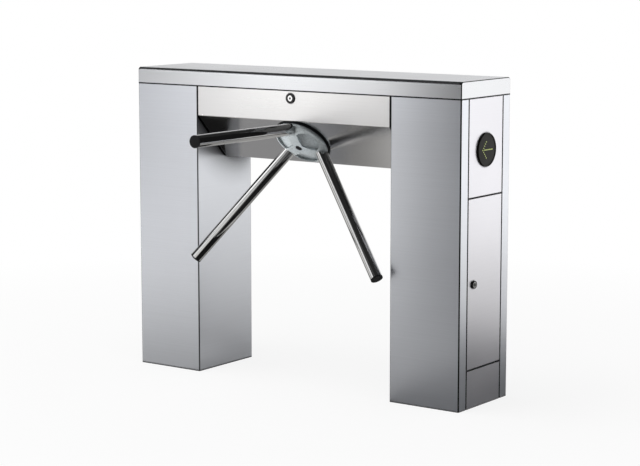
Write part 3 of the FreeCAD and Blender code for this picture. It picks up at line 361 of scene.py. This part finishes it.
# %% [markdown]
# ## Cast hub, housing and plated sheet
# The hub is an alloy casting, blasted and lacquered silver, so it scatters light much more than the arms do.
# It is therefore only partly metallic. The joints of its recessed facets get a little painted shade, as the
# cabinet's do. The housing is a raw casting, and the inner sheets are zinc plated with a warm, cloudy look.

# %% Cast and plated pieces
# How far the painted shade in the hub's facet joints goes down.
painted_facet_dark = 0.72


def cast(name, dark, light, metal, rough, joints=None):
    mat, tree, shader = new_finish(name, light, metal, rough)
    skin = pattern(tree, scale=450.0, detail=3.0)
    cloud = pattern(tree, scale=25.0, detail=3.0)
    colour = tint(tree, cloud, dark, light)
    # Painted shade in the joints of the hub's recessed facets.
    if joints:
        colour = with_painted_joint_shade(tree, colour, joints, start=0.50, stop=1.0, dark=painted_facet_dark)
    tree.links.new(colour, shader.inputs["Base Color"])
    tree.links.new(spread(tree, skin, low=rough - 0.06, high=rough + 0.08), shader.inputs["Roughness"])
    relief(tree, skin, shader, strength=0.20, depth=0.0002)
    return mat


hub_silver = cast("hub_silver", (0.58, 0.63, 0.65), (0.66, 0.71, 0.73), metal=0.60, rough=0.28, joints=0.012)
dress(hub_silver, "tripod_hub")
housing_cast = cast("housing_cast", (0.36, 0.37, 0.38), (0.44, 0.45, 0.46), metal=0.5, rough=0.5)
dress(housing_cast, "bearing_housing")
plated = cast("zinc_plated", (0.46, 0.45, 0.41), (0.58, 0.57, 0.52), metal=0.6, rough=0.36)
dress(plated, "left_base_plate", "right_base_plate", "equipment_plates", "mechanism_plate", "plate_pillars",
      "mechanism_studs", "lid_catch", "power_supply")
print("cast finishes", hub_silver.name, housing_cast.name, plated.name)

# %% [markdown]
# ## Lamps of the arrow
# Small lamps on the dark disc form an arrow that shows the way through. Each is a short yellow-green cylinder.
# A fine noise breaks up the colour, and a low emission makes it read as lit without lighting the steel around
# it.

# %% Arrow lamps
led, tree, shader = new_finish("led_lime", (0.62, 0.72, 0.20), metal=0.0, rough=0.3)
specks = pattern(tree, scale=900.0, detail=1.0)
tree.links.new(tint(tree, specks, (0.36, 0.42, 0.10), (0.66, 0.72, 0.32)), shader.inputs["Base Color"])
shader.inputs["Emission Color"].default_value = (0.60, 0.72, 0.22, 1)
shader.inputs["Emission Strength"].default_value = 0.25
dress(led, "indicator_leds")
print("finishes", len(bpy.data.materials))

# %% [markdown]
# ## Screws
# Hinges, board and mechanism plate are held by socket screws. They all have the same form, so one node tree
# makes them: a short cylinder with a six-sided hole is set on every point of a mesh. The points and the
# direction are given for each group, and the result is turned into a plain mesh that rides on its body.

# %% The head of a socket screw
head_sides = 24
hole_sides = 6
hole_share = 0.5


def cylinder(tree, sides, radius, height, lift):
    made = tree.nodes.new("GeometryNodeMeshCylinder")
    made.inputs["Vertices"].default_value = sides
    tree.links.new(radius, made.inputs["Radius"])
    tree.links.new(height, made.inputs["Depth"])
    up = tree.nodes.new("ShaderNodeCombineXYZ")
    tree.links.new(lift, up.inputs["Z"])
    stand = tree.nodes.new("GeometryNodeTransform")
    tree.links.new(made.outputs["Mesh"], stand.inputs["Geometry"])
    tree.links.new(up.outputs[0], stand.inputs["Translation"])
    return stand.outputs["Geometry"]


def screw_head(tree, radius, height):
    head = cylinder(tree, head_sides, radius, height, lift=sum_up(tree, "MULTIPLY", height, 0.5))
    hole = cylinder(tree, hole_sides, sum_up(tree, "MULTIPLY", radius, hole_share), height, lift=height)
    cut = tree.nodes.new("GeometryNodeMeshBoolean")
    cut.operation = "DIFFERENCE"
    tree.links.new(head, cut.inputs["Mesh 1"])
    tree.links.new(hole, cut.inputs["Mesh 2"])
    return cut.outputs["Mesh"]


print("screw head has", head_sides, "sides and its hole", hole_sides)

# %% A tree that sets screws on points
def screw_tree():
    tree = bpy.data.node_groups.new("socket_screws", "GeometryNodeTree")
    for label, kind in (("Geometry", "Geometry"), ("Direction", "Vector"), ("Head Radius", "Float"),
                        ("Head Height", "Float"), ("Finish", "Material")):
        tree.interface.new_socket(label, in_out="INPUT", socket_type="NodeSocket" + kind)
    tree.interface.new_socket("Geometry", in_out="OUTPUT", socket_type="NodeSocketGeometry")
    add = tree.nodes.new
    link = tree.links.new
    given = add("NodeGroupInput").outputs
    points = add("GeometryNodeMeshToPoints")
    turn = add("FunctionNodeAlignRotationToVector")
    turn.axis = "Z"
    each = add("GeometryNodeInstanceOnPoints")
    real = add("GeometryNodeRealizeInstances")
    paint = add("GeometryNodeSetMaterial")
    made = add("NodeGroupOutput")
    link(given["Geometry"], points.inputs["Mesh"])
    link(given["Direction"], turn.inputs["Vector"])
    link(points.outputs["Points"], each.inputs["Points"])
    link(screw_head(tree, given["Head Radius"], given["Head Height"]), each.inputs["Instance"])
    link(turn.outputs["Rotation"], each.inputs["Rotation"])
    link(each.outputs["Instances"], real.inputs["Geometry"])
    link(real.outputs["Geometry"], paint.inputs["Geometry"])
    link(given["Finish"], paint.inputs["Material"])
    link(paint.outputs["Geometry"], made.inputs["Geometry"])
    return tree


socket_screws = screw_tree()
print("tree", socket_screws.name, "with", len(socket_screws.nodes), "nodes")

# %% [markdown]
# ## Where the screws go
# Lid hinges have two screws in each leaf, the circuit board has one on each stand-off and a row on its
# terminal strip, and the mechanism plate is screwed to its four pillars, square to the slanted rotor axis.
# Sizes and places are in millimetres here, as on a drawing.

# %% A group of screws
def screws(name, body, spots, direction, radius, height):
    mesh = bpy.data.meshes.new(name + "_points")
    mesh.from_pydata([tuple(c / 1000 for c in spot) for spot in spots], [], [])
    holder = bpy.data.objects.new(name + "_points", mesh)
    scene.collection.objects.link(holder)
    modifier = holder.modifiers.new("screws", "NODES")
    modifier.node_group = socket_screws
    values = {"Direction": direction, "Head Radius": radius / 1000, "Head Height": height / 1000,
              "Finish": plated}
    for item in socket_screws.interface.items_tree:
        if item.item_type == "SOCKET" and item.in_out == "INPUT" and item.name in values:
            modifier[item.identifier] = values[item.name]
    view = bpy.context.evaluated_depsgraph_get()
    plain = bpy.data.meshes.new_from_object(holder.evaluated_get(view))
    bpy.data.objects.remove(holder)
    made = bpy.data.objects.new(name, plain)
    scene.collection.objects.link(made)
    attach(made, body)
    print(name, len(spots), "screws", len(plain.polygons), "faces")


print("screw groups can be set")

# %% Screws of the lid hinges
hinge_x = (-400, 0, 400)
leaf_face = 143
to_leaf_middle = 15
strap_rows = (944, 958)
leaf_rows = (901, 914)
strap_spots = [(x + to_leaf_middle, leaf_face, z) for x in hinge_x for z in strap_rows]
leaf_spots = [(x - to_leaf_middle, leaf_face, z) for x in hinge_x for z in leaf_rows]
screws("lid_strap_screws", "lid_cover", strap_spots, direction=(0, 1, 0), radius=4.0, height=2.2)
screws("lid_leaf_screws", "cabinet", leaf_spots, direction=(0, 1, 0), radius=4.0, height=2.2)

# %% Screws of the board and its terminals
board_face, board_columns, board_rows = 388.6, (-70, 70), (325, 535)
terminal_face, terminal_row = 400.6, 512
first_terminal, terminal_step, terminal_count = -63, 14, 10
board_spots = [(board_face, y, z) for y in board_columns for z in board_rows]
terminal_spots = [(terminal_face, first_terminal + terminal_step * i, terminal_row)
                  for i in range(terminal_count)]
screws("board_screws", "cabinet", board_spots, direction=(1, 0, 0), radius=4.0, height=3.0)
screws("terminal_screws", "cabinet", terminal_spots, direction=(1, 0, 0), radius=3.0, height=1.0)

# %% Screws of the mechanism plate
slope = math.sqrt(0.5)
rotor_y, rotor_z = -75, 770
plate_top = 84
pillar_columns, pillar_rows = (-38, 38), (-66, 66)
pillar_spots = [(x, rotor_y + slope * (up + plate_top), rotor_z + slope * (plate_top - up))
                for x in pillar_columns for up in pillar_rows]
screws("pillar_screws", "cabinet", pillar_spots, direction=(0, slope, slope), radius=5.0, height=4.5)

# %% [markdown]
# ## Key covers
# Each lock cylinder has a small round cover over its key slot. It is a low dome with a step, so rings of points
# are set round the lock's axis from a short profile, and strips of faces join them. A flat face closes each end,
# and the cover turns with the cylinder.

# %% A mesh turned from a profile
cover_profile = [(1.0, -0.3), (1.0, 0.25), (0.86, 0.42), (0.80, 0.30), (0.55, 0.48), (0.25, 0.56)]
cover_sides = 28


def turned_cover(name, middle, facing, radius):
    facing = Vector(facing)
    across = facing.orthogonal().normalized()
    other = facing.cross(across)
    shape = bmesh.new()
    rings = []
    for part, rise in cover_profile:
        ring = []
        for k in range(cover_sides):
            angle = 2 * math.pi * k / cover_sides
            spot = across * math.cos(angle) + other * math.sin(angle)
            ring.append(shape.verts.new((Vector(middle) + spot * part * radius + facing * rise) / 1000))
        rings.append(ring)
    for low, high in zip(rings, rings[1:]):
        for k in range(cover_sides):
            after = (k + 1) % cover_sides
            shape.faces.new((low[k], low[after], high[after], high[k]))
    shape.faces.new(rings[-1])
    shape.faces.new(list(reversed(rings[0])))
    bmesh.ops.recalc_face_normals(shape, faces=shape.faces)
    mesh = bpy.data.meshes.new(name)
    shape.to_mesh(mesh)
    shape.free()
    return mesh


print("cover profile has", len(cover_profile), "rings of", cover_sides, "points")

# %% Key covers
def key_cover(name, body, middle, facing, radius):
    mesh = turned_cover(name, middle, facing, radius)
    mesh.materials.append(bpy.data.materials["lock_ring_black"])
    made = bpy.data.objects.new(name, mesh)
    scene.collection.objects.link(made)
    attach(made, body)
    print(name, len(mesh.polygons), "faces")


key_cover("lid_key_cover", "lid_lock_turn", middle=(0, -143, 905), facing=(0, -1, 0), radius=3.4)
key_cover("left_key_cover", "left_lock_turn", middle=(-621.5, -63, 375), facing=(-1, 0, 0), radius=6.2)
key_cover("right_key_cover", "right_lock_turn", middle=(621.5, -63, 375), facing=(1, 0, 0), radius=6.2)

# %% [markdown]
# ## Floor
# The photograph is a catalogue picture on white. The floor is pale. Camera rays see it as almost white with the
# shadow kept, and as pure white further off. Reflections see it darker close to the cabinet, as a floor is that
# is lit from further off, with a lighter patch right under the bridge.

# %% Tools for the stage
def plane(name, corners):
    mesh = bpy.data.meshes.new(name)
    mesh.from_pydata(corners, [], [tuple(range(len(corners)))])
    made = bpy.data.objects.new(name, mesh)
    scene.collection.objects.link(made)
    return made


def mixed_by(tree, factor, first, second):
    mix = tree.nodes.new("ShaderNodeMixShader")
    tree.links.new(factor, mix.inputs["Fac"])
    tree.links.new(first, mix.inputs[1])
    tree.links.new(second, mix.inputs[2])
    return mix.outputs["Shader"]


def ray_kinds(tree):
    path = tree.nodes.new("ShaderNodeLightPath").outputs
    return path["Is Camera Ray"], sum_up(tree, "MAXIMUM", path["Is Glossy Ray"], path["Is Transmission Ray"])


print("stage tools ready")

# %% Floor with the part that reflections see
half_floor = 30
mirror_reach = 8.0
mirror_steps = [(0.0, 0.72), (0.042, 0.21), (0.06, 0.40), (0.10, 0.45), (0.20, 0.70), (0.40, 0.88), (0.70, 1.0)]
warmth = (1.01, 1.0, 0.97)
floor = plane("floor", [(x * half_floor, y * half_floor, 0) for x, y in ((-1, -1), (1, -1), (1, 1), (-1, 1))])
mat, tree, shader = new_finish("pale_floor", (0.81, 0.81, 0.81), metal=0.0, rough=0.9)
shader.inputs["Specular IOR Level"].default_value = 0.0
floor.data.materials.append(mat)
place = tree.nodes.new("ShaderNodeTexCoord")
length = tree.nodes.new("ShaderNodeVectorMath")
length.operation = "LENGTH"
tree.links.new(place.outputs["Object"], length.inputs[0])
away = length.outputs["Value"]
# Painted shade on the floor as reflections see it: darker close to the cabinet, lighter right under the bridge.
dimming = tree.nodes.new("ShaderNodeValToRGB")
steps = dimming.color_ramp.elements
for i, (at, level) in enumerate(mirror_steps):
    step = steps[i] if i < 2 else steps.new(at)
    step.position = at
    step.color = (*(level * part for part in warmth), 1)
tree.links.new(spread(tree, away, 0.0, 1.0, start=0.0, stop=mirror_reach), dimming.inputs["Fac"])
mirrored = tree.nodes.new("ShaderNodeEmission")
tree.links.new(dimming.outputs["Color"], mirrored.inputs["Color"])
print("floor", 2 * half_floor, "m, seen in", len(steps), "steps by reflections")

# %% The part that the camera sees
white_near, white_far = 0.86, 1.0
shadow_from, shadow_to = 0.9, 2.6
white = tree.nodes.new("ShaderNodeEmission")
whiter = spread(tree, away, white_near, white_far, start=shadow_from, stop=shadow_to)
camera_ray, shiny_ray = ray_kinds(tree)
for_camera = mixed_by(tree, whiter, shader.outputs["BSDF"], white.outputs["Emission"])
seen = mixed_by(tree, camera_ray, shader.outputs["BSDF"], for_camera)
surface = mixed_by(tree, shiny_ray, seen, mirrored.outputs["Emission"])
tree.links.new(surface, tree.nodes["Material Output"].inputs["Surface"])
print("shadow fades out at", shadow_to, "m")

# %% [markdown]
# ## Room
# Bright metal shows the room more than its own colour. Camera rays see white. Reflections see a white sweep at
# eye level that goes over into a dark ceiling, which draws the dark line along the lid's rounded edge. Behind
# the cabinet the sweep rises higher, so that the flat top of the lid stays light.

# %% Room
ambient = 0.45
ceiling = 0.03
sweep_from, sweep_to = 0.05, 0.32
rise_behind = 0.3
world = bpy.data.worlds.new("white_room")
scene.world = world
world.use_nodes = True
tree = world.node_tree
back = tree.nodes["Background"]
back.inputs["Color"].default_value = (1, 1, 1, 1)
_, y, z = parts_of(tree, "Generated")
behind = sum_up(tree, "MULTIPLY", sum_up(tree, "MAXIMUM", y, 0.0), rise_behind)
sweep = spread(tree, sum_up(tree, "SUBTRACT", z, behind), 1.0, ceiling, start=sweep_from, stop=sweep_to)
camera_ray, shiny_ray = ray_kinds(tree)
glossy = sum_up(tree, "MULTIPLY", shiny_ray, sum_up(tree, "SUBTRACT", sweep, ambient))
level = sum_up(tree, "MAXIMUM", camera_ray, sum_up(tree, "ADD", glossy, ambient))
tree.links.new(level, back.inputs["Strength"])
print("room with", ambient, "of plain light")

# %% [markdown]
# ## Cards
# A photographer of bright metal sets black cards where a dark line is wanted, and a white one where a light strip
# is. Only reflections see these, and only from the side that a card faces, so a card that serves the tubes does
# not darken the sheet behind it. A large one behind the camera and the flags in front grade the legs and their
# bends. The upright cards near the arms give the tubes their dark core. Small ones under the bridge give the
# slanted face its dark corner and the hub its darker facet. Two mats on the floor take down the foot of the near
# leg, and the one white card draws the bright strip on the tubes.

# %% Tools for cards
def card_finish(made, level):
    mat = bpy.data.materials.new(made.name)
    mat.use_nodes = True
    tree = mat.node_tree
    tree.nodes.clear()
    glow = tree.nodes.new("ShaderNodeEmission")
    glow.inputs["Color"].default_value = (level, level, level, 1)
    clear = tree.nodes.new("ShaderNodeBsdfTransparent")
    side = tree.nodes.new("ShaderNodeNewGeometry")
    out = tree.nodes.new("ShaderNodeOutputMaterial")
    shown = mixed_by(tree, side.outputs["Backfacing"], glow.outputs["Emission"], clear.outputs["BSDF"])
    tree.links.new(shown, out.inputs["Surface"])
    made.data.materials.append(mat)
    made.visible_camera = False
    made.visible_diffuse = False
    made.visible_shadow = False


def card(name, middle, facing, wide, tall, level):
    facing = Vector(facing).normalized()
    across = facing.cross(Vector((0, 0, 1))).normalized() * wide / 2
    up = across.cross(facing).normalized() * tall / 2
    middle = Vector(middle)
    corners = [middle + across - up, middle - across - up, middle - across + up, middle + across + up]
    card_finish(plane(name, corners), level)


print("card tools ready")

# %% Cards and flags
# name, middle, facing, width, height, level
upright_cards = [
    ("dark_card", (4.6, -6.6, 3.2), (-4.6, 6.6, -2.0), 9.0, 6.0, 0.015),
    ("high_flag", (0.18, -1.0, 0.97), (0, 1, 0), 0.56, 0.66, 0.08),
    ("low_flag", (0.18, -1.0, 0.32), (0, 1, 0), 0.56, 0.64, 0.21),
    ("corner_flag", (1.53, -1.0, 0.65), (0, 1, 0), 2.14, 1.3, 0.02),
    ("side_flag", (2.4, -0.6, 0.65), (-1, 0, 0), 0.8, 1.3, 0.02),
    ("left_flag", (-2.6, -1.95, 0.8), (0, 1, 0), 1.7, 1.6, 0.49),
    ("arm_card", (0.10, -0.74, 0.25), (-1, 0, 0), 1.52, 0.5, 0.012),
    ("tip_card", (-0.15, -0.50, 0.15), (-1, 0, 0), 1.0, 0.3, 0.012),
    ("fore_card", (0.12, -0.33, 0.88), (-1, 0, 0), 0.36, 0.27, 0.012),
    ("strip_card", (-2.3, -1.9, 1.9), (2.3, 1.8, -1.1), 1.0, 0.6, 1.9)]
for row in upright_cards:
    card(*row)
print("upright cards", len(upright_cards))

# %% Cards cut to a shape
wall_x = -0.366
floor_gap = 0.003
hub_card_height = 0.45
# on the wall: name, level, corners across and up
wall_cards = [
    ("corner_card", 0.01, [(-0.139, 0.832), (-0.139, 0.66), (-0.03, 0.70), (-0.005, 0.695)]),
    ("wall_card", 0.30, [(-0.139, 0.62), (-0.139, 0.25), (0.139, 0.25), (0.139, 0.62)])]
for name, level, shape in wall_cards:
    card_finish(plane(name, [(wall_x, y, z) for y, z in shape]), level)
# lying: name, level, height, corners along and across
lying_cards = [
    ("leg_mat", 0.11, floor_gap, [(0.36, -0.142), (0.27, -0.45), (0.30, -0.62), (0.50, -0.94), (1.2, -0.9),
                                  (0.64, -0.2), (0.64, -0.142)]),
    ("end_mat", 0.08, floor_gap, [(0.618, 0.95), (0.618, -0.142), (0.64, -0.2), (1.2, -0.9), (5.6, -6.0),
                                  (2.2, -0.5), (1.3, 0.95)]),
    ("hub_card", 0.02, hub_card_height, [(-0.16, -0.34), (0.08, -0.34), (0.08, -0.12), (-0.16, -0.12)])]
for name, level, height, shape in lying_cards:
    card_finish(plane(name, [(x, y, height) for x, y in shape]), level)
print("shaped cards", [row[0] for row in wall_cards + lying_cards])

# %% [markdown]
# ## Lamps
# Three soft boxes light the cabinet from the front left, from behind the near end and from above, and a low one
# with a narrow beam fills the hub, which hangs face down under the bridge. Only the first two show in the steel,
# where they give the bright fascia and the bright top of the near end.

# %% Lamps
def softbox(name, place, aim, size, power, in_steel=True, beam=180):
    lamp = bpy.data.lights.new(name, "AREA")
    lamp.shape = "RECTANGLE"
    lamp.size, lamp.size_y = size
    lamp.energy = power
    lamp.spread = math.radians(beam)
    made = bpy.data.objects.new(name, lamp)
    made.location = place
    made.rotation_euler = (Vector(aim) - Vector(place)).to_track_quat("-Z", "Y").to_euler()
    made.visible_camera = False
    made.visible_glossy = in_steel
    scene.collection.objects.link(made)


softbox("front_softbox", (-1.3, -1.9, 1.25), aim=(-0.1, -0.14, 0.75), size=(0.8, 1.1), power=2.6)
softbox("end_softbox", (1.8, 1.6, 0.66), aim=(0.62, 0, 0.66), size=(0.9, 1.0), power=1.5)
softbox("top_softbox", (-0.6, -0.8, 4.0), aim=(0, 0, 0.5), size=(2.4, 2.4), power=90, in_steel=False)
softbox("hub_fill", (-1.2, -0.50, 0.25), aim=(0, -0.12, 0.74), size=(0.5, 0.5), power=3.2, in_steel=False,
        beam=50)

# %% [markdown]
# ## Camera
# The camera stands in front of the near end, at about the height of a standing person's chest, and looks
# slightly down with a long lens. Its place was worked out from the corners of the cabinet in the photograph.

# %% Camera
looks_down = 8.374
turned_left = 35.639
lens = bpy.data.cameras.new("catalogue_camera")
lens.lens = 110.12
lens.sensor_width = 36.0
camera = bpy.data.objects.new("catalogue_camera", lens)
camera.location = (3.5815, -4.9796, 1.3724)
camera.rotation_euler = (math.radians(90 - looks_down), 0, math.radians(turned_left))
scene.collection.objects.link(camera)
scene.camera = camera
print("camera at", tuple(camera.location))
